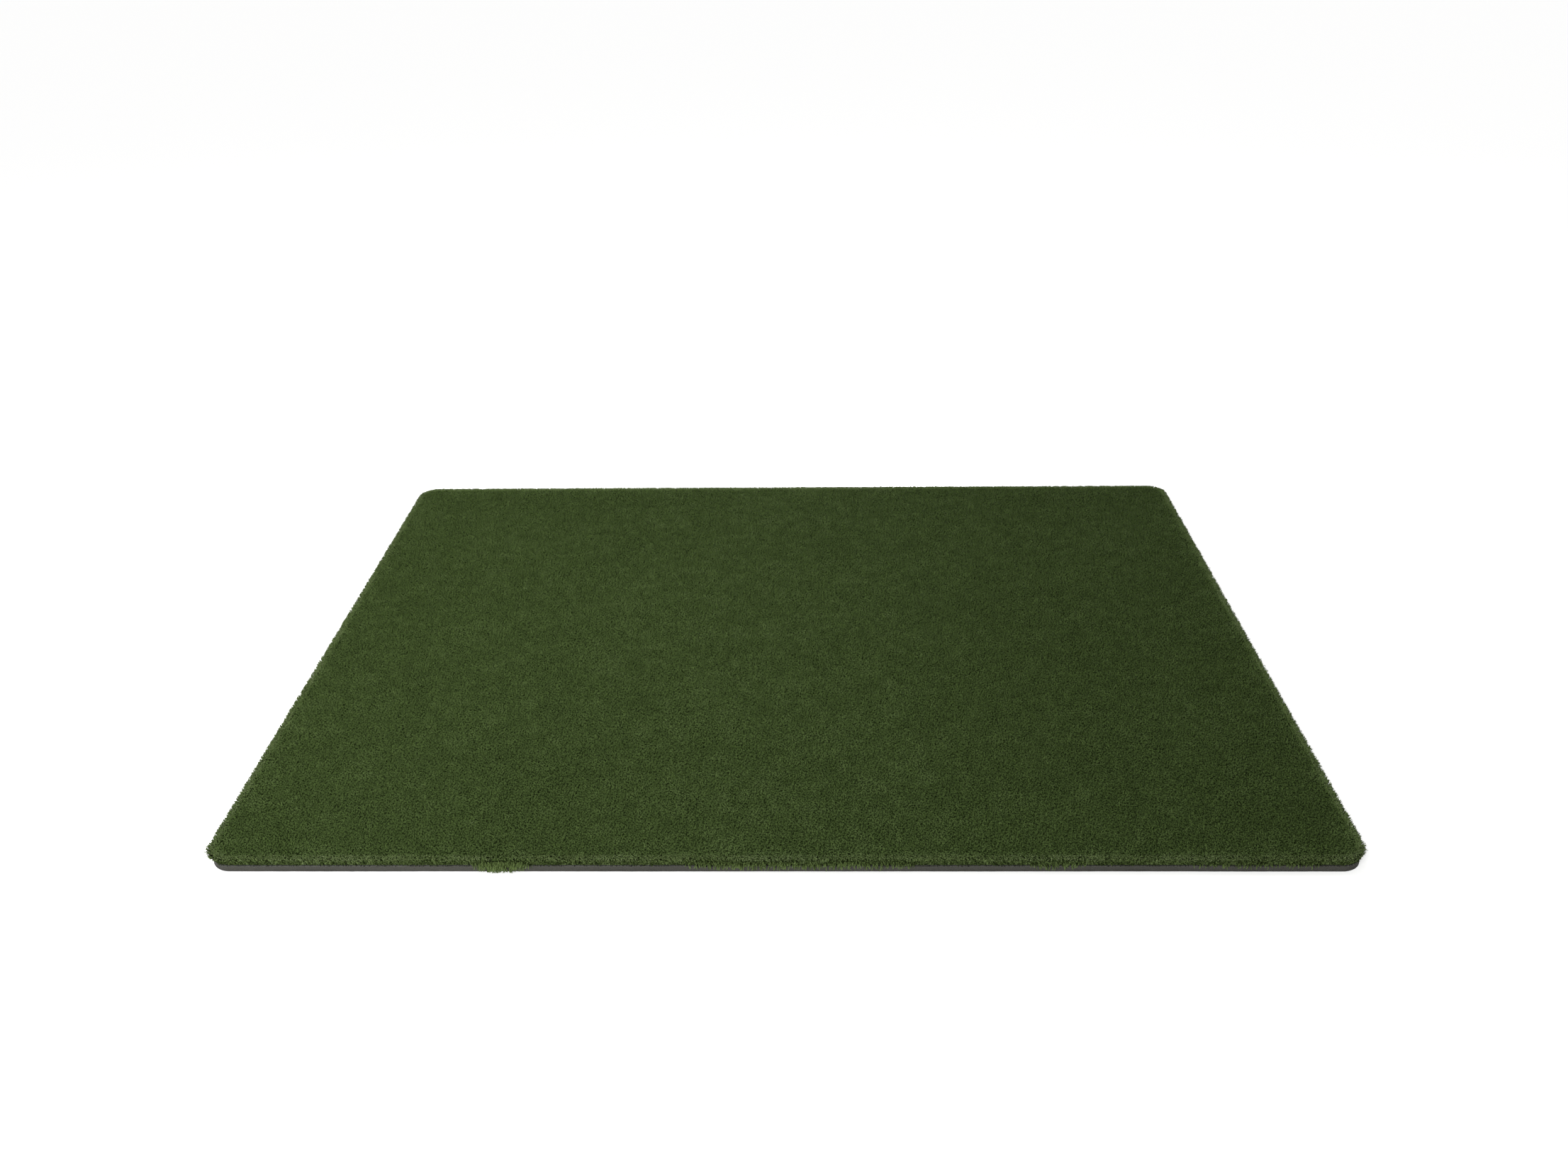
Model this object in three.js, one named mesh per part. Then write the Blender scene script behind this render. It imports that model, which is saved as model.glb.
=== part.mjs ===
// Golf hitting mat: a bonded laminate with rounded corners. From the ground up it is a rubber sole, a foam
// shock pad, the turf's latex coat and woven backing cloth, and a curled nylon pile, with a thin bond film on
// each side of the foam.
//
// Millimetres. +X runs along the long side, +Y away from the near long side, +Z up. The origin is the centre
// of the underside, so the mat rests on z = 0.

import * as THREE from "three";

// Driving sizes
const MAT_LENGTH = 1524; // cut size of the laminate along X
const MAT_WIDTH = 1219; // cut size of the laminate along Y
const CORNER_RADIUS = 30; // of the cut outline
const PILE_FLARE = 6; // how far the pile leans out over the cut edge, at its tips

const SOLE_THICKNESS = 2;
const SOLE_BOND_THICKNESS = 0.25;
const FOAM_THICKNESS = 6.5;
const PAD_BOND_THICKNESS = 0.25;
const COAT_THICKNESS = 1;
const CLOTH_THICKNESS = 0.5;
const PILE_HEIGHT = 13.5;

const CORNER_STEPS = 12; // straight steps in each rounded corner

// The cut outline that every layer shares.
function cutOutline() {
  const x = MAT_LENGTH / 2 - CORNER_RADIUS;
  const y = MAT_WIDTH / 2 - CORNER_RADIUS;
  const quarter = Math.PI / 2;
  const outline = new THREE.Shape();
  outline.absarc(x, y, CORNER_RADIUS, 0, quarter, false);
  outline.absarc(-x, y, CORNER_RADIUS, quarter, 2 * quarter, false);
  outline.absarc(-x, -y, CORNER_RADIUS, 2 * quarter, 3 * quarter, false);
  outline.absarc(x, -y, CORNER_RADIUS, 3 * quarter, 4 * quarter, false);
  return outline;
}

// A layer of the laminate, from z = 0 up to its thickness.
function layerGeometry(thickness) {
  return new THREE.ExtrudeGeometry(cutOutline(), {
    depth: thickness,
    bevelEnabled: false,
    curveSegments: CORNER_STEPS,
  });
}

// The standing pile as a plain block. Its foot is the cut outline and its tips lean out by PILE_FLARE: each
// upper point moves away from the centre of its own rounded corner.
function pileGeometry() {
  const geometry = layerGeometry(PILE_HEIGHT);
  const points = geometry.getAttribute("position");
  const grown = (CORNER_RADIUS + PILE_FLARE) / CORNER_RADIUS;
  for (let i = 0; i < points.count; i++) {
    if (points.getZ(i) < PILE_HEIGHT / 2) continue;
    const centreX = Math.sign(points.getX(i)) * (MAT_LENGTH / 2 - CORNER_RADIUS);
    const centreY = Math.sign(points.getY(i)) * (MAT_WIDTH / 2 - CORNER_RADIUS);
    points.setX(i, centreX + (points.getX(i) - centreX) * grown);
    points.setY(i, centreY + (points.getY(i) - centreY) * grown);
  }
  geometry.computeVertexNormals();
  return geometry;
}

function material(color, roughness) {
  return new THREE.MeshStandardMaterial({ color, roughness, metalness: 0 });
}

function rubberSole() {
  return new THREE.Mesh(layerGeometry(SOLE_THICKNESS), material(0x2b2b29, 0.85));
}

function soleAdhesive() {
  return new THREE.Mesh(layerGeometry(SOLE_BOND_THICKNESS), material(0x4a463c, 0.5));
}

function foamPad() {
  return new THREE.Mesh(layerGeometry(FOAM_THICKNESS), material(0x56564f, 0.95));
}

function padAdhesive() {
  return new THREE.Mesh(layerGeometry(PAD_BOND_THICKNESS), material(0x4a463c, 0.5));
}

function latexCoat() {
  return new THREE.Mesh(layerGeometry(COAT_THICKNESS), material(0x2e2f2a, 0.75));
}

function primaryBacking() {
  return new THREE.Mesh(layerGeometry(CLOTH_THICKNESS), material(0x24261f, 0.9));
}

function turfPile() {
  return new THREE.Mesh(pileGeometry(), material(0x394626, 0.9));
}

// The layers in order from the ground up, each with its name and thickness.
const LAYERS = [
  ["rubber_sole", rubberSole, SOLE_THICKNESS],
  ["sole_adhesive", soleAdhesive, SOLE_BOND_THICKNESS],
  ["foam_pad", foamPad, FOAM_THICKNESS],
  ["pad_adhesive", padAdhesive, PAD_BOND_THICKNESS],
  ["latex_coat", latexCoat, COAT_THICKNESS],
  ["primary_backing", primaryBacking, CLOTH_THICKNESS],
  ["turf_pile", turfPile, PILE_HEIGHT],
];

// Stacks the layers face to face. A mesh stores its thickness as a 32-bit number, so the height climbs by
// that same number and each layer starts on the very plane where the one below it ends.
function hittingMat() {
  const mat = new THREE.Group();
  mat.name = "golf_hitting_mat";
  let height = 0;
  for (const [name, makeLayer, thickness] of LAYERS) {
    const layer = makeLayer();
    layer.name = name;
    layer.position.z = height;
    mat.add(layer);
    height += Math.fround(thickness);
  }
  return mat;
}

export default hittingMat();
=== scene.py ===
import math

import bmesh
import bpy
import numpy as np
from mathutils import Matrix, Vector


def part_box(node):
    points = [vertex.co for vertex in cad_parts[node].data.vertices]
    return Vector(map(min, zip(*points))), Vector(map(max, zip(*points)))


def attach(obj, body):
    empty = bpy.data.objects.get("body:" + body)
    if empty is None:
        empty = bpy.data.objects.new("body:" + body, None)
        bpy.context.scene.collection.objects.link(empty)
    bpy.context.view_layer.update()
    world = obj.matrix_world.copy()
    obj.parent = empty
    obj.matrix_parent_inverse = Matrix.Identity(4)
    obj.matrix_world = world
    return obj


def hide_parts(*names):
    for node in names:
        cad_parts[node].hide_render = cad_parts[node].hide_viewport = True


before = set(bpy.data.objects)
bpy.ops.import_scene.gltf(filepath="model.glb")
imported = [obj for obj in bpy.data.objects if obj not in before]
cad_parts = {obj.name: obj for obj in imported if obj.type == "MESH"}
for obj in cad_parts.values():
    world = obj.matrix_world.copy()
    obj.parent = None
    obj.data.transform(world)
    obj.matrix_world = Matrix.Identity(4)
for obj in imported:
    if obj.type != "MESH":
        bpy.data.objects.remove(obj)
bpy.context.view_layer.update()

# The golf mat's looks: curled turf yarn standing in a dense root mass, on a cloth that is locked with latex
# and bonded to a foam pad and a rubber sole. Metres, with the mat flat on z = 0 and its long side along X.

MM = 0.001

# Heights and outline, from the frame
HALF_X, HALF_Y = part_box("rubber_sole")[1].xy
CLOTH_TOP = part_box("primary_backing")[1].z
PILE_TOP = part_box("turf_pile")[1].z
PILE_HEIGHT = PILE_TOP - CLOTH_TOP
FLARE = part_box("turf_pile")[1].x - HALF_X


def corner_radius_of(node):
    """The radius of a node's rounded corners: its long straight side stops that far from the corner."""
    points = [v.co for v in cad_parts[node].data.vertices]
    side = max(p.y for p in points)
    return max(p.x for p in points) - max(p.x for p in points if p.y > side - 0.01 * MM)


CORNER = corner_radius_of("rubber_sole")

# Yarn
TUFT_GAP = 2.1 * MM  # between neighbouring tufts
YARN_WIDTH = 1.35 * MM
ROOT_TOP = CLOTH_TOP + 0.77 * PILE_HEIGHT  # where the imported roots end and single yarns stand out
EDGE_LEAN, EDGE_REACH = FLARE * 0.8, 5 * MM  # how far the outermost tips lean out, fading inwards
RIM_BAND = 10 * MM  # where the tufts stand twice as close, so that the fanned edge stays full
BARE_RIM = 0.8 * MM  # no tuft of the standing yarn is closer than this to the cut edge
LIT_RIM_BAND = 14 * MM  # how far the paler yarn, a painted highlight on the rim, reaches in from the cut edge
ROOT_SINK = 1.2 * MM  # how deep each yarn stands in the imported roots
RIM_SINK = 4 * MM  # how much deeper at the cut edge, where the roots are seen from the side
EDGE_YARN_GAP = 0.12 * MM  # between the outermost yarns, along the outline
LOOSE_FIBRE_COUNT = 1400
TILES_X, TILES_Y = 5, 3  # the standing yarn is laid as this many pieces along X and Y
SEED = 7

# Patches of paler and darker turf: how strong, how wide, and which random table
TURF_PATCHES = ((0.05, 7 * MM, 2), (0.17, 14 * MM, 3), (0.05, 60 * MM, 4), (0.05, 400 * MM, 5))

# The backing cloth's flat tapes
TAPE_PITCH = 1.5 * MM

# Studio
CAMERA_LENS = 32.53  # on a sensor 36 mm wide
CAMERA_PLACE = (0.036, -2.094, 1.187)
CAMERA_PAN, CAMERA_DIP, CAMERA_ROLL = -1.13, 27.32, -0.714  # degrees
ROOM_LIGHT = 0.52
FLOOR_GLOW = 0.5
FLOOR_REACH = 30  # each way from the mat, far past the picture's edge
FLOOR_DROP = 0.1 * MM  # below the sole, so that the two faces never meet

NEAR_WAY = -0.99  # the outline's way out has a Y below this along the straight part of the near side

# Stretches of the near side where loose yarn hangs over the base: from x, to x, and how much of it hangs
HANGING_STRETCHES = (
    (-0.410, -0.330, 1.0),
    (-0.130, 0.175, 0.35),
    (0.315, 0.400, 0.35),
    (0.530, 0.710, 0.15),
)


# ---------------------------------------------------------------- outline and random fields


def clouds(x, y, size, seed):
    """Smooth random values from -1 to 1 over the places x, y, with patches about that size."""
    cells = 256
    table = np.random.default_rng(seed).uniform(-1, 1, (cells, cells))
    column, row = np.floor(x / size).astype(int), np.floor(y / size).astype(int)
    across, along = x / size - column, y / size - row
    across, along = across**2 * (3 - 2 * across), along**2 * (3 - 2 * along)

    def corner(i, j):
        return table[(column + i) % cells, (row + j) % cells]

    near = corner(0, 0) * (1 - across) + corner(1, 0) * across
    far = corner(0, 1) * (1 - across) + corner(1, 1) * across
    return near * (1 - along) + far * along


def from_cut_edge(x, y):
    """How far inside the cut outline each place is, and the level way straight out over the nearest edge."""
    over_x, over_y = np.abs(x) - (HALF_X - CORNER), np.abs(y) - (HALF_Y - CORNER)
    round_part = np.hypot(np.maximum(over_x, 0), np.maximum(over_y, 0))
    depth = CORNER - round_part - np.minimum(np.maximum(over_x, over_y), 0)
    in_corner = (over_x > 0) & (over_y > 0)
    length = np.where(in_corner, np.maximum(round_part, 1e-9), 1)
    way_x = np.where(in_corner, over_x / length, over_x > over_y) * np.sign(x)
    way_y = np.where(in_corner, over_y / length, over_x <= over_y) * np.sign(y)
    return depth, way_x, way_y


def outline_length():
    return 4 * (HALF_X + HALF_Y - 2 * CORNER) + 2 * math.pi * CORNER


def outline_at(distance):
    """The place on the cut outline at each distance along it, and the level way straight out there."""
    distance = np.mod(distance, outline_length())
    x, y, way_x, way_y = (np.zeros_like(distance) for _ in range(4))
    start = 0.0
    for quarter in range(4):
        out = quarter * math.pi / 2  # the way out over this side: +X, +Y, -X, -Y
        reach, half = (HALF_X, HALF_Y) if quarter % 2 == 0 else (HALF_Y, HALF_X)
        straight = 2 * (half - CORNER)
        turn = np.clip((distance - start - straight) / CORNER, 0, math.pi / 2)
        here = (distance >= start) & (distance <= start + straight + CORNER * math.pi / 2)
        slide = np.clip(distance - start, 0, straight) - straight / 2
        side_x = math.cos(out) * (reach - CORNER) - math.sin(out) * slide
        side_y = math.sin(out) * (reach - CORNER) + math.cos(out) * slide
        x = np.where(here, side_x + CORNER * np.cos(out + turn), x)
        y = np.where(here, side_y + CORNER * np.sin(out + turn), y)
        way_x = np.where(here, np.cos(out + turn), way_x)
        way_y = np.where(here, np.sin(out + turn), way_y)
        start += straight + CORNER * math.pi / 2
    return x, y, way_x, way_y


# ---------------------------------------------------------------- mesh making


def mesh_piece(name, points, faces, material):
    """A new object from an array of points and an array of faces, all with the same number of corners."""
    mesh = bpy.data.meshes.new(name)
    corners = faces.shape[1]
    mesh.vertices.add(len(points))
    mesh.vertices.foreach_set("co", points.astype(np.float32).ravel())
    mesh.loops.add(faces.size)
    mesh.loops.foreach_set("vertex_index", faces.astype(np.int32).ravel())
    mesh.polygons.add(len(faces))
    mesh.polygons.foreach_set("loop_start", np.arange(0, faces.size, corners, dtype=np.int32))
    mesh.polygons.foreach_set("loop_total", np.full(len(faces), corners, np.int32))
    mesh.update(calc_edges=True)
    mesh.shade_smooth()
    mesh.materials.append(material)
    piece = bpy.data.objects.new(name, mesh)
    bpy.context.scene.collection.objects.link(piece)
    return piece


def ribbons(spines, sides):
    """The points and four-sided faces of flat ribbons. spines are each ribbon's points from root to tip, and
    sides point from its middle to its right edge there."""
    count, steps = spines.shape[:2]
    points = np.stack([spines - sides, spines + sides], axis=2).reshape(-1, 3)
    root = np.arange(count)[:, None] * steps * 2 + np.arange(steps - 1)[None, :] * 2
    faces = np.stack([root, root + 1, root + 3, root + 2], axis=2).reshape(-1, 4)
    return points, faces


def strands_piece(name, spines, sides, tone, material):
    """Flat curled yarns as one object. tone is each yarn's, from 0, darkest, to 1, palest: its own shade, with
    the painted highlight and painted shade that some yarns are given.
    """
    count, steps = spines.shape[:2]
    points, faces = ribbons(spines, sides)
    piece = mesh_piece(name, points, faces, material)
    rise = np.broadcast_to(np.linspace(0, 1, steps)[None, :, None], (count, steps, 2)).ravel()
    edge_shift = np.array([-0.002, 0.002])  # so that no face is a bare line in the layout below
    tones = np.clip(tone[:, None, None] + edge_shift, 0, 1)
    tones = np.broadcast_to(tones, (count, steps, 2)).ravel()
    for label, values in (("yarn_tone", tones), ("yarn_rise", rise)):
        attribute = piece.data.attributes.new(label, "FLOAT", "POINT")
        attribute.data.foreach_set("value", values.astype(np.float32))
    places = np.stack([tones, rise], axis=1)[faces.ravel()]
    piece.data.uv_layers.new(name="OFBake").uv.foreach_set("vector", places.astype(np.float32).ravel())
    return piece


def across_strand(spines, twist, width):
    """The half-width vectors of flat yarns: level across each yarn's run, then turned about it by twist."""
    run = np.gradient(spines, axis=1)
    run /= np.linalg.norm(run, axis=2, keepdims=True)
    level = np.stack([-run[..., 1], run[..., 0], np.zeros(run.shape[:2])], axis=2)
    level /= np.maximum(np.linalg.norm(level, axis=2, keepdims=True), 1e-6)
    upward = np.cross(level, run)
    turned = level * np.cos(twist)[..., None] + upward * np.sin(twist)[..., None]
    return turned * width[..., None] / 2


# ---------------------------------------------------------------- shader groups and materials


def shader_group(name, inputs, outputs):
    """An empty shader group with those sockets. Each socket is (name, kind, default)."""
    group = bpy.data.node_groups.new(name, "ShaderNodeTree")
    for label, kind, default in inputs:
        socket = group.interface.new_socket(label, in_out="INPUT", socket_type="NodeSocket" + kind)
        socket.default_value = default
    for label, kind in outputs:
        group.interface.new_socket(label, in_out="OUTPUT", socket_type="NodeSocket" + kind)
    return group, group.nodes.new("NodeGroupInput"), group.nodes.new("NodeGroupOutput")


def node(tree, kind, settings=(), **inputs):
    """A new node. settings are its own fields, and inputs are sockets to link or values to set, by name with
    underscores for blanks."""
    made = tree.nodes.new("ShaderNode" + kind)
    for label, value in dict(settings).items():
        setattr(made, label, value)
    for label, value in inputs.items():
        socket = made.inputs[int(label[1:])] if label[0] == "_" else made.inputs[label.replace("_", " ")]
        if isinstance(value, bpy.types.NodeSocket):
            tree.links.new(value, socket)
        else:
            socket.default_value = value
    return made


def math_node(tree, operation, a, b=0.5, clamp=False):
    made = node(tree, "Math", {"operation": operation, "use_clamp": clamp}, _0=a, _1=b)
    return made.outputs[0]


def mixed_colour(tree, share, a, b, blend="MIX"):
    made = node(tree, "Mix", {"data_type": "RGBA", "blend_type": blend}, _0=share, _6=a, _7=b)
    return made.outputs[2]


def yarn_shade_group():
    """Dyed yarn in a shade of its own from its tone, and darker towards its root, so paler at its cut tip: the
    darkening is painted shade of the pile.
    """
    group, given, put = shader_group(
        "yarn shade",
        [
            ("Tone", "Float", 0.5),
            ("Rise", "Float", 1.0),
            ("Deep Colour", "Color", (0.02, 0.035, 0.01, 1)),
            ("Body Colour", "Color", (0.05, 0.08, 0.02, 1)),
            ("Pale Colour", "Color", (0.12, 0.15, 0.06, 1)),
            ("Root Dark", "Float", 0.5),
        ],
        [("Colour", "Color"), ("Roughness", "Float")],
    )
    low = node(group, "MapRange", _0=given.outputs["Tone"], _1=0.0, _2=0.5).outputs[0]
    high = node(group, "MapRange", _0=given.outputs["Tone"], _1=0.5, _2=1.0).outputs[0]
    colour = mixed_colour(group, low, given.outputs["Deep Colour"], given.outputs["Body Colour"])
    colour = mixed_colour(group, high, colour, given.outputs["Pale Colour"])
    dark = given.outputs["Root Dark"]
    # Painted shade: darkens the yarn towards its root by the given amount, and not at all from 0.8 of the way
    # up.
    shade = node(group, "MapRange", _0=given.outputs["Rise"], _1=0.0, _2=0.8, _3=dark, _4=1.0).outputs[0]
    colour = mixed_colour(group, 1.0, colour, shade, "MULTIPLY")
    rough = node(group, "MapRange", _0=given.outputs["Tone"], _3=0.72, _4=0.55).outputs[0]
    group.links.new(colour, put.inputs["Colour"])
    group.links.new(rough, put.inputs["Roughness"])
    return group


def grain_group():
    """A fine moulded or cut grain: small bumps with broader unevenness under them."""
    group, given, put = shader_group(
        "fine grain",
        [("Place", "Vector", (0, 0, 0)), ("Grain Size", "Float", 1.0), ("Unevenness", "Float", 0.5)],
        [("Height", "Float")],
    )
    spread = node(group, "VectorMath", {"operation": "SCALE"}, _0=given.outputs["Place"])
    frequency = math_node(group, "DIVIDE", 1000.0, given.outputs["Grain Size"])
    group.links.new(frequency, spread.inputs["Scale"])
    fine = node(group, "TexNoise", Vector=spread.outputs[0], Scale=1.0, Detail=3.0, Roughness=0.6).outputs[0]
    broad = node(group, "TexNoise", Vector=spread.outputs[0], Scale=0.12, Detail=2.0).outputs[0]
    swell = math_node(group, "MULTIPLY", broad, given.outputs["Unevenness"])
    group.links.new(math_node(group, "ADD", fine, swell), put.inputs["Height"])
    return group


def scuff_group():
    """Dust and pale scuffs, in patches and in fine specks."""
    group, given, put = shader_group(
        "dust and scuffs",
        [
            ("Place", "Vector", (0, 0, 0)),
            ("Colour", "Color", (0.05, 0.05, 0.05, 1)),
            ("Dust Colour", "Color", (0.2, 0.19, 0.16, 1)),
            ("Amount", "Float", 0.3),
            ("Roughness", "Float", 0.8),
        ],
        [("Colour", "Color"), ("Roughness", "Float")],
    )
    place = given.outputs["Place"]
    patches = node(group, "TexNoise", Vector=place, Scale=14.0, Detail=4.0, Roughness=0.55).outputs[0]
    specks = node(group, "TexNoise", Vector=place, Scale=420.0, Detail=2.0).outputs[0]
    patches = node(group, "MapRange", _0=patches, _1=0.42, _2=0.72).outputs[0]
    specks = node(group, "MapRange", _0=specks, _1=0.45, _2=0.75).outputs[0]
    patches = math_node(group, "MULTIPLY", patches, 0.6)
    specks = math_node(group, "MULTIPLY", specks, 0.4)
    share = math_node(group, "ADD", patches, specks)
    share = math_node(group, "MULTIPLY", share, given.outputs["Amount"], clamp=True)
    colour = mixed_colour(group, share, given.outputs["Colour"], given.outputs["Dust Colour"])
    rougher = math_node(group, "MULTIPLY", share, 0.2)
    rough = math_node(group, "ADD", given.outputs["Roughness"], rougher, clamp=True)
    group.links.new(colour, put.inputs["Colour"])
    group.links.new(rough, put.inputs["Roughness"])
    return group


def crumb_group():
    """Packed cells or rubber crumbs: rounded lumps, and a mask of the sunken seams between them, used for
    painted shade.
    """
    group, given, put = shader_group(
        "cells and crumbs",
        [("Place", "Vector", (0, 0, 0)), ("Cell Size", "Float", 1.0), ("Looseness", "Float", 1.0)],
        [("Height", "Float"), ("Seam", "Float")],
    )
    spread = node(group, "VectorMath", {"operation": "SCALE"}, _0=given.outputs["Place"])
    group.links.new(math_node(group, "DIVIDE", 1000.0, given.outputs["Cell Size"]), spread.inputs["Scale"])
    lumps = node(group, "TexVoronoi", {"feature": "F1"}, Vector=spread.outputs[0], Scale=1.0)
    group.links.new(given.outputs["Looseness"], lumps.inputs["Randomness"])
    height = node(group, "MapRange", _0=lumps.outputs["Distance"], _1=0.1, _2=0.75, _3=1.0, _4=0.0).outputs[0]
    seam = node(group, "MapRange", _0=lumps.outputs["Distance"], _1=0.35, _2=0.7).outputs[0]
    group.links.new(height, put.inputs["Height"])
    group.links.new(seam, put.inputs["Seam"])
    return group


def weave_group():
    """A plain weave of flat tapes: one set lies over the other in turn."""
    group, given, put = shader_group(
        "tape weave",
        [("Place", "Vector", (0, 0, 0)), ("Tape Width", "Float", 1.5)],
        [("Height", "Float"), ("Crossing", "Float")],
    )
    spread = node(group, "VectorMath", {"operation": "SCALE"}, _0=given.outputs["Place"])
    per_tape = math_node(group, "DIVIDE", 1000.0 * math.pi, given.outputs["Tape Width"])
    group.links.new(per_tape, spread.inputs["Scale"])
    split = node(group, "SeparateXYZ", _0=spread.outputs[0]).outputs
    over = math_node(group, "SINE", split[0])
    under = math_node(group, "SINE", split[1])
    crossing = math_node(group, "MULTIPLY", over, under)
    over_rise = math_node(group, "ABSOLUTE", over)
    under_rise = math_node(group, "ABSOLUTE", under)
    edges = math_node(group, "MINIMUM", over_rise, under_rise)
    tape = node(group, "MapRange", _0=edges, _1=0.0, _2=0.5).outputs[0]
    height = math_node(group, "ADD", tape, math_node(group, "MULTIPLY", crossing, 0.5))
    group.links.new(height, put.inputs["Height"])
    group.links.new(node(group, "MapRange", _0=crossing, _1=-1.0, _2=1.0).outputs[0], put.inputs["Crossing"])
    return group


YARN_SHADE = yarn_shade_group()
FINE_GRAIN = grain_group()
DUST_AND_SCUFFS = scuff_group()
CELLS_AND_CRUMBS = crumb_group()
TAPE_WEAVE = weave_group()


def new_material(name):
    """An empty node material: its tree and its Principled shader."""
    material = bpy.data.materials.new(name)
    material.use_nodes = True
    tree = material.node_tree
    return material, tree, tree.nodes["Principled BSDF"]


def use_group(tree, group, **inputs):
    made = node(tree, "Group", {"node_tree": group}, **inputs)
    return made.outputs


def mat_place(tree):
    return node(tree, "TexCoord").outputs["Object"]


def bump(tree, height, depth):
    return node(tree, "Bump", Height=height, Distance=depth, Strength=1.0).outputs["Normal"]


def turf_yarn_material(name, deep, body, pale, root_dark):
    """Crimped nylon yarn in three shades, with the crimp's small ridges across it."""
    material, tree, shader = new_material(name)
    tone = node(tree, "Attribute", {"attribute_name": "yarn_tone"}).outputs["Fac"]
    rise = node(tree, "Attribute", {"attribute_name": "yarn_rise"}).outputs["Fac"]
    # The yarn's colour carries painted shade, darker towards its root by the given amount.
    shade = use_group(
        tree,
        YARN_SHADE,
        Tone=tone,
        Rise=rise,
        Deep_Colour=(*deep, 1),
        Body_Colour=(*body, 1),
        Pale_Colour=(*pale, 1),
        Root_Dark=root_dark,
    )
    along = math_node(tree, "MULTIPLY", rise, 40.0)
    offset = math_node(tree, "MULTIPLY", tone, 60.0)  # starts each yarn's ridges at a place of their own
    ridges = math_node(tree, "SINE", math_node(tree, "ADD", along, offset))
    tree.links.new(shade["Colour"], shader.inputs["Base Color"])
    tree.links.new(shade["Roughness"], shader.inputs["Roughness"])
    tree.links.new(bump(tree, ridges, 0.02 * MM), shader.inputs["Normal"])
    shader.inputs["Specular IOR Level"].default_value = 0.08
    return material


def root_mass_material():
    """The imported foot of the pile, seen as the dark gaps between the yarns."""
    material, tree, shader = new_material("packed yarn roots")
    place = mat_place(tree)
    patches = node(tree, "TexNoise", Vector=place, Scale=300.0, Detail=4.0, Roughness=0.7).outputs[0]
    tone = node(tree, "MapRange", _0=patches, _1=0.3, _2=0.7).outputs[0]
    # Rise 0.35 darkens this colour a little with the yarn's painted root shade.
    shade = use_group(
        tree,
        YARN_SHADE,
        Tone=tone,
        Rise=0.35,
        Deep_Colour=(0.04, 0.065, 0.0152, 1),
        Body_Colour=(0.048, 0.0775, 0.0185, 1),
        Pale_Colour=(0.0575, 0.09, 0.024, 1),
        Root_Dark=0.9,
    )
    grain = use_group(tree, FINE_GRAIN, Place=place, Grain_Size=1.2, Unevenness=0.6)
    tree.links.new(shade["Colour"], shader.inputs["Base Color"])
    tree.links.new(bump(tree, grain["Height"], 1.2 * MM), shader.inputs["Normal"])
    shader.inputs["Roughness"].default_value = 0.9
    shader.inputs["Specular IOR Level"].default_value = 0.15
    return material


def base_material(name, colour, dust, dust_amount, roughness):
    """Rubber, foam, latex, cloth or film: its own colour under dust and scuffs, with no surface yet."""
    material, tree, shader = new_material(name)
    worn = use_group(
        tree,
        DUST_AND_SCUFFS,
        Place=mat_place(tree),
        Colour=(*colour, 1),
        Dust_Colour=(*dust, 1),
        Amount=dust_amount,
        Roughness=roughness,
    )
    tree.links.new(worn["Colour"], shader.inputs["Base Color"])
    tree.links.new(worn["Roughness"], shader.inputs["Roughness"])
    return material, tree, shader, worn


def crumb_material(name, colour, dust, dust_amount, roughness, cell_size, cell_depth, painted_seam_shade):
    """Foam or crumb rubber cut through its cells, with the seams between them darker: painted shade in the
    hollows between the lumps.
    """
    material, tree, shader, worn = base_material(name, colour, dust, dust_amount, roughness)
    place = mat_place(tree)
    cells = use_group(tree, CELLS_AND_CRUMBS, Place=place, Cell_Size=cell_size)
    grain = use_group(tree, FINE_GRAIN, Place=place, Grain_Size=cell_size / 3, Unevenness=0.8)
    # Painted shade: the colour is darkened in the sunken seams between the lumps.
    shade = node(tree, "MapRange", _0=cells["Seam"], _3=1.0, _4=painted_seam_shade).outputs[0]
    colour = mixed_colour(tree, 1.0, worn["Colour"], shade, "MULTIPLY")
    height = math_node(tree, "ADD", cells["Height"], math_node(tree, "MULTIPLY", grain["Height"], 0.5))
    tree.links.new(colour, shader.inputs["Base Color"])
    tree.links.new(bump(tree, height, cell_depth), shader.inputs["Normal"])
    return material


def grained_material(name, colour, dust, dust_amount, roughness, grain_size, grain_depth):
    """Cured latex or film with an uneven skin."""
    material, tree, shader, _ = base_material(name, colour, dust, dust_amount, roughness)
    grain = use_group(tree, FINE_GRAIN, Place=mat_place(tree), Grain_Size=grain_size, Unevenness=1.0)
    tree.links.new(bump(tree, grain["Height"], grain_depth), shader.inputs["Normal"])
    return material


def woven_material(name, colour, dust, dust_amount, roughness, tape_width):
    """The backing cloth's plain weave of flat tapes, lighter where the weave stands higher and darker where it
    lies lower: painted highlight and painted shade.
    """
    material, tree, shader, worn = base_material(name, colour, dust, dust_amount, roughness)
    weave = use_group(tree, TAPE_WEAVE, Place=mat_place(tree), Tape_Width=tape_width)
    # Painted highlight and painted shade: colour from 0.75 to 1.15 times its own, following the crossing that
    # also raises the bump.
    shade = node(tree, "MapRange", _0=weave["Crossing"], _3=0.75, _4=1.15).outputs[0]
    colour = mixed_colour(tree, 1.0, worn["Colour"], shade, "MULTIPLY")
    tree.links.new(colour, shader.inputs["Base Color"])
    tree.links.new(bump(tree, weave["Height"], 0.2 * MM), shader.inputs["Normal"])
    return material


# ---------------------------------------------------------------- the pile


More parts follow.
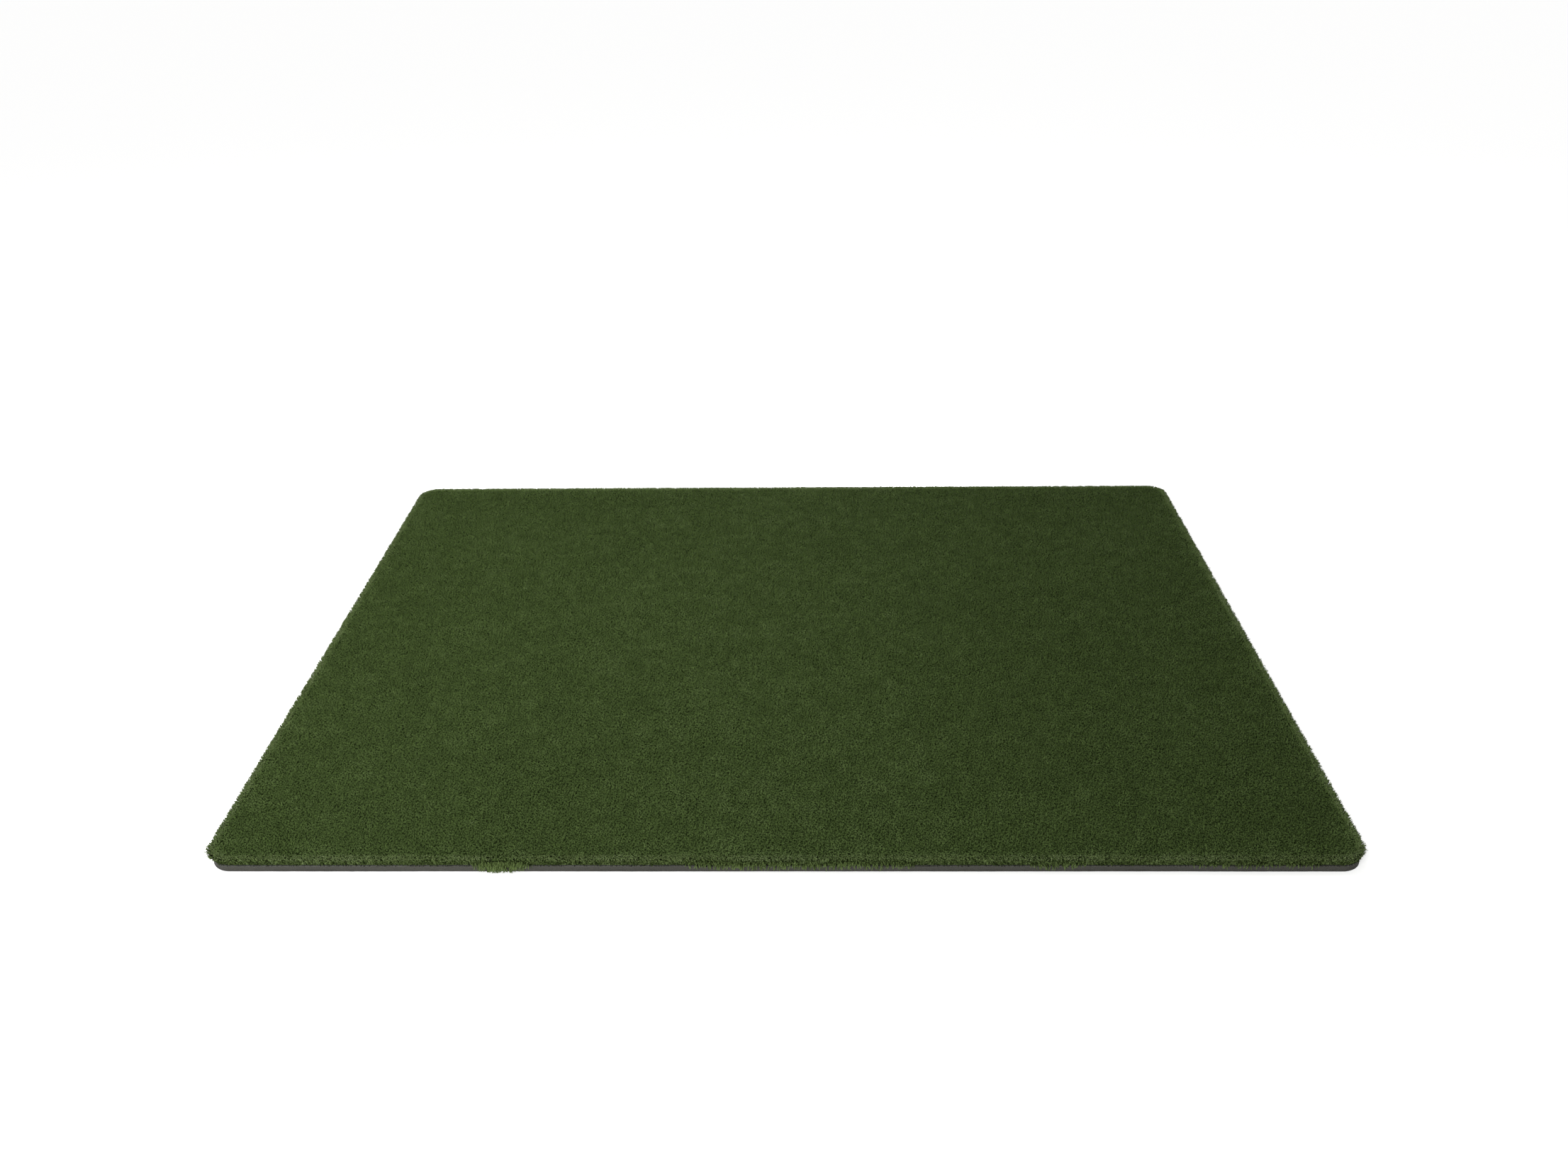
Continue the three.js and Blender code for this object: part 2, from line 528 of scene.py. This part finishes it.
def standing_yarn():
    """Every tuft's yarn over the whole mat: spines, half-width vectors and tones. Each yarn leaves the packed
    roots upright and curls over at its cut tip."""
    draw = np.random.default_rng(SEED)
    columns = np.arange(-HALF_X, HALF_X, TUFT_GAP)
    rows = np.arange(-HALF_Y, HALF_Y, TUFT_GAP)
    x, y = (a.ravel() for a in np.meshgrid(columns, rows, indexing="ij"))
    x = x + draw.uniform(0, 1, len(x)) * TUFT_GAP
    y = y + draw.uniform(0, 1, len(y)) * TUFT_GAP
    rim_count = int(outline_length() * RIM_BAND / TUFT_GAP**2)
    rim_x, rim_y, rim_way_x, rim_way_y = outline_at(draw.uniform(0, outline_length(), rim_count))
    rim_depth = draw.uniform(0, 1, rim_count) * RIM_BAND
    x = np.concatenate([x, rim_x - rim_way_x * rim_depth])
    y = np.concatenate([y, rim_y - rim_way_y * rim_depth])
    depth, way_x, way_y = from_cut_edge(x, y)
    kept = depth > BARE_RIM
    x, y, depth, way_x, way_y = (a[kept] for a in (x, y, depth, way_x, way_y))
    count = len(x)

    near_edge = np.exp(-depth / EDGE_REACH)
    painted_rim_highlight = np.exp(-depth / LIT_RIM_BAND)
    lean = np.stack([draw.normal(0, 0.9 * MM, count), draw.normal(-0.2 * MM, 0.9 * MM, count)], axis=1)
    lean += np.stack([way_x, way_y], axis=1) * (EDGE_LEAN * near_edge)[:, None]
    crown = PILE_TOP - draw.uniform(0.2, 0.7, count) * MM + 0.25 * MM * clouds(x, y, 45 * MM, 11)
    foot = ROOT_TOP - ROOT_SINK - RIM_SINK * near_edge
    curl_way = draw.uniform(0, 2 * math.pi, count)
    hook_way = curl_way + draw.normal(0, 0.7, count)
    curl = draw.uniform(0.3, 0.9, count) * MM
    hook = draw.uniform(0.9, 2.2, count) * MM
    dip = draw.uniform(0, 0.6, count) * MM

    start = np.stack([x, y], axis=1)
    curl_side = np.stack([np.cos(curl_way), np.sin(curl_way)], axis=1) * curl[:, None]
    hook_side = np.stack([np.cos(hook_way), np.sin(hook_way)], axis=1) * hook[:, None]
    spines = np.zeros((count, 4, 3))
    spines[:, 0, :2] = start
    spines[:, 1, :2] = start + 0.35 * lean - 0.8 * curl_side
    spines[:, 2, :2] = start + 0.85 * lean + curl_side
    spines[:, 3, :2] = start + lean + curl_side + hook_side
    spines[:, 0, 2] = foot
    spines[:, 1, 2] = foot + 0.6 * (crown - foot)
    spines[:, 2, 2] = crown
    spines[:, 3, 2] = crown - dip
    width = YARN_WIDTH * draw.uniform(0.8, 1.2, count)[:, None] * np.array([0.8, 1.0, 1.05, 0.5])
    twist = draw.normal(0, 0.18, (count, 1)) + draw.normal(0, 0.1, (count, 4))
    sides = across_strand(spines, twist, width)

    # Yarn near the cut edge is paler: painted highlight where the rim catches the light.
    tone = 0.48 + draw.normal(0, 0.04, count) + 0.25 * painted_rim_highlight
    for strength, size, seed in TURF_PATCHES:
        tone += strength * clouds(x, y, size, seed)
    return spines, sides, np.clip(tone, 0.02, 0.98)


def lay_standing_yarn(material):
    spines, sides, tone = standing_yarn()
    column = np.clip((spines[:, 0, 0] + HALF_X) / (2 * HALF_X) * TILES_X, 0, TILES_X - 1).astype(int)
    row = np.clip((spines[:, 0, 1] + HALF_Y) / (2 * HALF_Y) * TILES_Y, 0, TILES_Y - 1).astype(int)
    pieces = []
    for i in range(TILES_X):
        for j in range(TILES_Y):
            here = (column == i) & (row == j)
            name = f"standing_yarn_{i + 1}_{j + 1}"
            pieces.append(strands_piece(name, spines[here], sides[here], tone[here], material))
    return pieces


def hanging_share(x, way_y, along):
    """How much of the edge yarn hangs down at each place: in the named stretches of the near side, not at all
    round its two corners, and by chance elsewhere."""
    near = np.zeros_like(x)
    for start, end, share in HANGING_STRETCHES:
        rise = np.clip((x - start) / (30 * MM), 0, 1)
        fall = np.clip((end - x) / (30 * MM), 0, 1)
        near = np.maximum(near, share * (rise * fall) ** 0.7)
    elsewhere = np.clip(0.25 + 1.2 * clouds(along, along * 0, 90 * MM, 21), 0, 1) * 0.15
    return np.where(way_y < NEAR_WAY, near, np.where(way_y < -0.01, 0.0, elsewhere))


def edge_yarn(material):
    """Yarn of the outermost tufts, one piece a side: it fans out to the pile's flared side, and in places it
    hangs down in front of the base."""
    draw = np.random.default_rng(SEED + 1)
    count = int(outline_length() / EDGE_YARN_GAP)
    along = np.sort(draw.uniform(0, outline_length(), count))
    x, y, way_x, way_y = outline_at(along)
    hangs = hanging_share(x, way_y, along)
    droops = draw.uniform(0, 1, count) < 0.8 * hangs
    stray = draw.uniform(0, 1, count) < 0.05
    wall = draw.uniform(0, 1, count) < 0.45  # yarn on the pile's side, with its tip at any height
    inside = np.where(wall, draw.uniform(0.3, 2.0, count), draw.uniform(0.3, 6.0, count)) * MM
    level = np.where(wall, draw.uniform(0.08, 1, count), 1)
    splay = 1 + 0.7 * np.clip(2 * way_x * way_y, 0, 1) * (way_x < 0)  # the near left corner's yarn stands out
    outward = np.where(wall, 0.85 * FLARE * level, EDGE_LEAN * np.exp(-inside / EDGE_REACH) - inside)
    outward = outward * np.where(outward > 0, splay, 1) + draw.normal(0, 0.8, count) * MM
    outward = np.where(stray, outward + draw.uniform(0.5, 2.5, count) * MM, outward)
    fallen = draw.uniform(0, 1, count)
    outward = np.where(droops, FLARE * (1 - 0.5 * fallen) + draw.normal(0, 0.5, count) * MM, outward)
    foot = CLOTH_TOP + np.where(droops, 0.5 * PILE_HEIGHT * (1 - fallen), 0.4 * MM)
    tip = CLOTH_TOP + level * (PILE_HEIGHT - draw.uniform(0, 0.8, count) * MM)
    near_side = way_y < NEAR_WAY
    drop_to = np.where(near_side, -(2 * MM + (CLOTH_TOP - 2 * MM) * hangs), -3 * MM)
    tip = np.where(droops, CLOTH_TOP + 0.8 * PILE_HEIGHT * (1 - fallen) + drop_to * fallen, tip)
    sideways = draw.normal(0, 1.3, count) * MM

    step = np.array([0, 0.45, 1.0])
    fan = np.where(droops[:, None], np.sin(step * math.pi / 2), step**1.3)
    climb = np.where(droops[:, None], step**1.4, 1 - (1 - step) ** 1.5)
    reach = -inside[:, None] + (outward + inside)[:, None] * fan
    arch = np.where(droops, 1.5 * MM, 0)[:, None] * np.sin(step * math.pi)
    hook_way = draw.uniform(0, 2 * math.pi, count)
    hook = draw.uniform(0.8, 1.9, count) * MM
    dip = np.where(droops, draw.uniform(0.5, 2.5, count), draw.uniform(0, 0.9, count)) * MM
    spines = np.zeros((count, len(step) + 1, 3))
    spines[:, :-1, 0] = x[:, None] + way_x[:, None] * reach - way_y[:, None] * sideways[:, None] * step
    spines[:, :-1, 1] = y[:, None] + way_y[:, None] * reach + way_x[:, None] * sideways[:, None] * step
    spines[:, :-1, 2] = foot[:, None] + (tip - foot)[:, None] * climb + arch
    spines[:, -1] = spines[:, -2] + np.stack([np.cos(hook_way) * hook, np.sin(hook_way) * hook, -dip], axis=1)
    spines[..., 2] = np.maximum(spines[..., 2], 0.4 * MM)  # the lowest yarn lies on the floor, not in it
    width = YARN_WIDTH * np.where(stray, draw.uniform(0.35, 0.8, count), draw.uniform(0.7, 1.1, count))
    width = width[:, None] * np.array([0.9, 1.0, 1.0, 0.5])
    twist = draw.normal(0, 0.4, (count, 1)) + draw.normal(0, 0.2, (count, len(step) + 1))
    sides = across_strand(spines, twist, width)
    # Yarn with its tip lower on the flared side is darker: painted shade under the flare. Hanging yarn takes a
    # middle tone.
    tone = 0.12 + draw.normal(0, 0.07, count) + 0.1 * clouds(along, along * 0, 60 * MM, 22) + 0.5 * level**1.5
    tone = np.where(droops, 0.35 + draw.normal(0, 0.07, count), tone)

    half_way = outline_length() / 2
    side_at = np.digitize(along, [2 * HALF_Y - CORNER, half_way, half_way + 2 * HALF_Y - CORNER])
    pieces = []
    for number, side in enumerate(("right", "far", "left", "near")):
        here = side_at == number
        tones = np.clip(tone[here], 0.02, 0.98)
        pieces.append(strands_piece(f"edge_yarn_{side}", spines[here], sides[here], tones, material))
    return pieces


def loose_fibres(material):
    """Stray fibres shed by the yarn, lying over the pile."""
    draw = np.random.default_rng(SEED + 2)
    count = LOOSE_FIBRE_COUNT
    x = draw.uniform(-HALF_X, HALF_X, count) * 0.985
    y = draw.uniform(-HALF_Y, HALF_Y, count) * 0.98
    length = draw.uniform(5, 16, count) * MM
    heading = draw.uniform(0, 2 * math.pi, count)
    bend = draw.normal(0, 1.4, count)
    step = np.linspace(0, 1, 7)
    turn = heading[:, None] + bend[:, None] * step + 0.5 * np.sin(step * 9 + heading[:, None])
    stride = length[:, None] / (len(step) - 1)
    spines = np.zeros((count, len(step), 3))
    spines[..., 0] = x[:, None] + np.cumsum(np.cos(turn) * stride, axis=1)
    spines[..., 1] = y[:, None] + np.cumsum(np.sin(turn) * stride, axis=1)
    lift = draw.uniform(0.1, 0.9, (count, 1)) * np.sin(step * math.pi)
    lift = lift + draw.normal(0, 0.08, (count, len(step)))
    spines[..., 2] = PILE_TOP - 0.4 * MM + lift * MM
    width = draw.uniform(0.18, 0.32, count)[:, None] * np.array([0.6, 1, 1, 1, 1, 1, 0.5]) * MM
    sides = across_strand(spines, draw.normal(0, 0.4, (count, len(step))), width)
    tone = np.clip(draw.normal(0.4, 0.2, count), 0.02, 0.98)
    return [strands_piece("loose_fibres", spines, sides, tone, material)]


def frayed_tape_ends(material):
    """Cut ends of the backing cloth's flat woven tapes, sticking out between the pile and the latex."""
    draw = np.random.default_rng(SEED + 3)
    along = np.arange(0, outline_length(), TAPE_PITCH)
    along = along + draw.normal(0, 0.25, len(along)) * MM
    along = along[draw.uniform(0, 1, len(along)) < 0.7]
    count = len(along)
    x, y, way_x, way_y = outline_at(along)
    low, high = (corner.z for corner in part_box("primary_backing"))
    length = draw.uniform(0.3, 2.4, count) * MM
    droop = draw.uniform(-0.2, 0.9, count) * MM
    slant = draw.normal(0, 0.35, count)
    step = np.array([0, 0.5, 1.0])
    reach = -0.8 * MM + (length + 0.8 * MM)[:, None] * step
    shift = slant[:, None] * length[:, None] * step
    spines = np.zeros((count, len(step), 3))
    spines[..., 0] = x[:, None] + way_x[:, None] * reach - way_y[:, None] * shift
    spines[..., 1] = y[:, None] + way_y[:, None] * reach + way_x[:, None] * shift
    level = low + (high - low) * draw.uniform(0.3, 0.8, count)
    spines[..., 2] = level[:, None] - droop[:, None] * step**2
    width = np.broadcast_to(draw.uniform(0.7, 1.3, count)[:, None] * MM, (count, len(step)))
    sides = across_strand(spines, draw.normal(0, 0.3, (count, len(step))), width)
    points, faces = ribbons(spines, sides)
    return mesh_piece("frayed_tape_ends", points, faces, material)


def rounded_grid(x, y, half_x, half_y, radius):
    """Carries a rectangle's places to a rectangle with rounded corners: each corner square is eased to a
    quarter disc."""
    over_x = np.maximum(np.abs(x) - (half_x - radius), 0) / radius
    over_y = np.maximum(np.abs(y) - (half_y - radius), 0) / radius
    eased_x = over_x * np.sqrt(1 - over_y**2 / 2) * radius
    eased_y = over_y * np.sqrt(1 - over_x**2 / 2) * radius
    x = np.where(over_x > 0, np.sign(x) * (half_x - radius + eased_x), x)
    y = np.where(over_y > 0, np.sign(y) * (half_y - radius + eased_y), y)
    return x, y


def grid_lines(half, radius, gap):
    """Even grid lines from -half to half that also fall where the rounded corners start."""
    middle = np.linspace(radius - half, half - radius, max(2, round(2 * (half - radius) / gap)) + 1)
    corner = np.linspace(0, radius, max(2, round(radius / gap)) + 1)
    return np.concatenate([-half + corner[:-1], middle, half - radius + corner[1:]])


def root_mass(material):
    """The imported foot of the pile: one closed, lumpy solid on the cloth, a little inside the cut edge, whose
    top leans out at the rim as the yarn does."""
    inset, gap = 1.5 * MM, 4.9 * MM
    half_x, half_y, radius = HALF_X - inset, HALF_Y - inset, CORNER - inset
    x, y = np.meshgrid(grid_lines(half_x, radius, gap), grid_lines(half_y, radius, gap), indexing="ij")
    x, y = rounded_grid(x, y, half_x, half_y, radius)
    depth, way_x, way_y = from_cut_edge(x, y)
    rim = np.exp(-(depth - inset) / (4 * MM))
    lumps = 0.5 * clouds(x, y, 5 * MM, 31) + 0.5 * clouds(x, y, 17 * MM, 32)
    top = ROOT_TOP + 0.9 * MM * lumps - 1.5 * MM * rim
    columns, rows = x.shape
    lean = 0.35 * FLARE * rim
    upper = np.stack([x + way_x * lean, y + way_y * lean, top], axis=2).reshape(-1, 3)
    index = np.arange(columns * rows).reshape(columns, rows)
    squares = np.stack([index[:-1, :-1], index[1:, :-1], index[1:, 1:], index[:-1, 1:]], axis=2)
    border = np.concatenate([index[:-1, 0], index[-1, :-1], index[:0:-1, -1], index[0, :0:-1]])
    lower = np.stack([x, y, top], axis=2).reshape(-1, 3)[border]
    lower[:, 2] = CLOTH_TOP
    below = len(upper) + np.arange(len(border))
    after, below_after = np.roll(border, -1), np.roll(below, -1)
    skirt = np.stack([after, border, below, below_after], axis=1)
    faces = np.concatenate([squares.reshape(-1, 4), skirt])
    piece = mesh_piece("packed_roots", np.concatenate([upper, lower]), faces, material)
    close_with_cap(piece, below)
    return piece


def close_with_cap(piece, loop):
    """Adds one flat many-sided face over a loop of points."""
    shape = bmesh.new()
    shape.from_mesh(piece.data)
    shape.verts.ensure_lookup_table()
    shape.faces.new([shape.verts[i] for i in loop])
    bmesh.ops.recalc_face_normals(shape, faces=shape.faces)
    shape.to_mesh(piece.data)
    shape.free()


# ---------------------------------------------------------------- the base layers


def cut_layer(name, cad_node, profile, waviness, material, seed, step=3 * MM):
    """A layer of the base between its node's lowest and highest faces. profile is the cut edge from bottom to
    top as (share of the height, offset outwards in metres), and the edge wanders by the waviness."""
    low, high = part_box(cad_node)[0].z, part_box(cad_node)[1].z
    count = round(outline_length() / step)
    along = np.linspace(0, outline_length(), count, endpoint=False)
    x, y, way_x, way_y = outline_at(along)
    rings = []
    for level, (share, offset) in enumerate(profile):
        wander = 0.65 * clouds(along, along * 0, 70 * MM, seed)
        wander += 0.35 * clouds(along, along * 0, 9 * MM, seed + 1)
        wander += 0.35 * clouds(along, along * 0 + level, 6 * MM, seed + 2)
        out = offset + waviness * wander
        z = np.full(count, low + (high - low) * share)
        rings.append(np.stack([x + way_x * out, y + way_y * out, z], axis=1))
    points = np.concatenate(rings)
    first = np.arange(count)
    after = np.roll(first, -1)
    band = np.stack([first, after, after + count, first + count], axis=1)
    faces = np.concatenate([band + level * count for level in range(len(rings) - 1)])
    piece = mesh_piece(name, points, faces, material)
    close_with_cap(piece, first[::-1])
    close_with_cap(piece, first + (len(rings) - 1) * count)
    return piece


def base_materials():
    """The base's five materials. Cell, grain and tape sizes are in millimetres, as their groups take them."""
    rubber = crumb_material(
        "sole rubber",
        colour=(0.014, 0.014, 0.0125),
        dust=(0.07, 0.068, 0.06),
        dust_amount=0.3,
        roughness=0.75,
        cell_size=1.1,
        cell_depth=0.25 * MM,
        painted_seam_shade=0.6,
    )
    foam = crumb_material(
        "cut foam",
        colour=(0.033, 0.0325, 0.025),
        dust=(0.07, 0.068, 0.056),
        dust_amount=0.35,
        roughness=0.9,
        cell_size=0.9,
        cell_depth=0.4 * MM,
        painted_seam_shade=0.55,
    )
    latex = grained_material(
        "cured latex",
        colour=(0.012, 0.013, 0.01),
        dust=(0.05, 0.05, 0.04),
        dust_amount=0.3,
        roughness=0.55,
        grain_size=1.6,
        grain_depth=0.5 * MM,
    )
    film = grained_material(
        "bond film",
        colour=(0.038, 0.034, 0.026),
        dust=(0.09, 0.083, 0.065),
        dust_amount=0.3,
        roughness=0.45,
        grain_size=1.0,
        grain_depth=0.1 * MM,
    )
    cloth = woven_material(
        "backing cloth",
        colour=(0.012, 0.014, 0.009),
        dust=(0.045, 0.045, 0.036),
        dust_amount=0.3,
        roughness=0.8,
        tape_width=1.5,
    )
    return rubber, foam, latex, film, cloth


def base_layers():
    """The sole, foam, latex and cloth with their cut edges, and the two bond films' material."""
    rubber, foam, latex, film, cloth = base_materials()
    sole = cut_layer(
        "rubber_sole_cut",
        "rubber_sole",
        profile=[(0, -0.3 * MM), (0.12, 0), (0.5, 0.05 * MM), (0.9, 0), (1, -0.1 * MM)],
        waviness=0.25 * MM,
        material=rubber,
        seed=41,
    )
    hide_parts("rubber_sole")
    pad = cut_layer(
        "foam_pad_cut",
        "foam_pad",
        profile=[
            (0, 0),
            (0.08, -0.35 * MM),
            (0.3, -0.55 * MM),
            (0.5, -0.4 * MM),
            (0.7, -0.55 * MM),
            (0.92, -0.3 * MM),
            (1, 0),
        ],
        waviness=0.5 * MM,
        material=foam,
        seed=44,
    )
    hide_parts("foam_pad")
    coat = cut_layer(
        "latex_coat_cut",
        "latex_coat",
        profile=[(0, -0.3 * MM), (0.2, 0.1 * MM), (0.6, 0.25 * MM), (1, -0.1 * MM)],
        waviness=0.55 * MM,
        material=latex,
        seed=47,
        step=2 * MM,
    )
    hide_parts("latex_coat")
    backing = cut_layer(
        "backing_cloth_cut",
        "primary_backing",
        profile=[(0, 0.1 * MM), (0.5, 0.3 * MM), (1, 0.1 * MM)],
        waviness=0.4 * MM,
        material=cloth,
        seed=50,
        step=2 * MM,
    )
    tape_ends = frayed_tape_ends(cloth)
    for piece in (backing, tape_ends):
        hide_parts("primary_backing")
    for film_node in ("sole_adhesive", "pad_adhesive"):
        for slot_of_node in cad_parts[film_node].material_slots:
            slot_of_node.material = film
    return [sole, pad, coat, backing, tape_ends]


# ---------------------------------------------------------------- studio


def studio_camera():
    """A hand-held view over the near long side, looking down at the mat."""
    data = bpy.data.cameras.new("camera")
    data.lens = CAMERA_LENS
    data.sensor_width = 36
    data.clip_end = 100
    camera = bpy.data.objects.new("camera", data)
    pan = Matrix.Rotation(math.radians(-CAMERA_PAN), 4, "Z")
    dip = Matrix.Rotation(math.pi / 2 - math.radians(CAMERA_DIP), 4, "X")
    roll = Matrix.Rotation(math.radians(CAMERA_ROLL), 4, "Z")
    turn = pan @ dip @ roll
    camera.matrix_world = Matrix.Translation(CAMERA_PLACE) @ turn
    bpy.context.scene.collection.objects.link(camera)
    bpy.context.scene.camera = camera


def studio_light(name, place, aim, size, power, colour=(1, 1, 1)):
    data = bpy.data.lights.new(name, "AREA")
    data.shape = "DISK"
    data.size = size
    data.energy = power
    data.color = colour
    light = bpy.data.objects.new(name, data)
    way = Matrix.Translation(place).to_translation() - Matrix.Translation(aim).to_translation()
    light.matrix_world = Matrix.Translation(place) @ way.to_track_quat("Z", "Y").to_matrix().to_4x4()
    bpy.context.scene.collection.objects.link(light)


def studio_room():
    """A white room: soft light from all round, and a pale floor that glows a little to stay white."""
    world = bpy.data.worlds.new("studio")
    world.use_nodes = True
    tree = world.node_tree
    light = tree.nodes["Background"]
    light.inputs["Color"].default_value = (1, 1, 1, 1)
    light.inputs["Strength"].default_value = ROOM_LIGHT
    seen = node(tree, "Background", Color=(1, 1, 1, 1), Strength=1.0)
    direct = node(tree, "LightPath").outputs["Is Camera Ray"]
    both = node(tree, "MixShader", _0=direct, _1=light.outputs[0], _2=seen.outputs[0])
    tree.links.new(both.outputs[0], tree.nodes["World Output"].inputs["Surface"])
    bpy.context.scene.world = world
    material, _, shader = new_material("studio floor")
    shader.inputs["Base Color"].default_value = (0.93, 0.93, 0.925, 1)
    shader.inputs["Roughness"].default_value = 0.9
    shader.inputs["Specular IOR Level"].default_value = 0.1
    shader.inputs["Emission Color"].default_value = (1, 1, 1, 1)
    shader.inputs["Emission Strength"].default_value = FLOOR_GLOW
    signs = np.array([[-1, -1], [1, -1], [1, 1], [-1, 1]])
    corners = np.column_stack([signs * FLOOR_REACH, np.full(4, -FLOOR_DROP)])
    floor = mesh_piece("floor", corners, np.array([[0, 1, 2, 3]]), material)
    bpy.context.scene.view_settings.view_transform = "Standard"


# ---------------------------------------------------------------- putting it together

studio_camera()
studio_room()
studio_light("key", place=(-0.8, 0, 1.6), aim=(-0.35, 0.05, 0), size=1.2, power=25, colour=(1.0, 0.99, 0.97))
studio_light(
    "front fill", place=(-1.3, -2.6, 0.6), aim=(-0.4, -0.6, 0), size=1.4, power=75, colour=(1.0, 1.0, 0.99)
)
studio_light("back fill", place=(0.2, 1.9, 1.9), aim=(0.1, 0.6, 0), size=1.4, power=11)

yarn = turf_yarn_material(
    "turf yarn",
    deep=(0.025, 0.042, 0.0082),
    body=(0.0425, 0.0685, 0.0156),
    pale=(0.075, 0.111, 0.034),
    root_dark=0.9,
)
# Paler than the turf yarn as a painted highlight on the edge yarn and the loose fibres, and with more painted
# shade towards the root.
painted_highlight_yarn = turf_yarn_material(
    "edge yarn with painted highlight",
    deep=(0.035, 0.055, 0.012),
    body=(0.08, 0.114, 0.035),
    pale=(0.15, 0.19, 0.09),
    root_dark=0.7,
)
pile = lay_standing_yarn(yarn) + edge_yarn(painted_highlight_yarn) + loose_fibres(painted_highlight_yarn) + [root_mass(root_mass_material())]
for piece in pile:
    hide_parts("turf_pile")
for piece in pile + base_layers():
    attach(piece, "root")
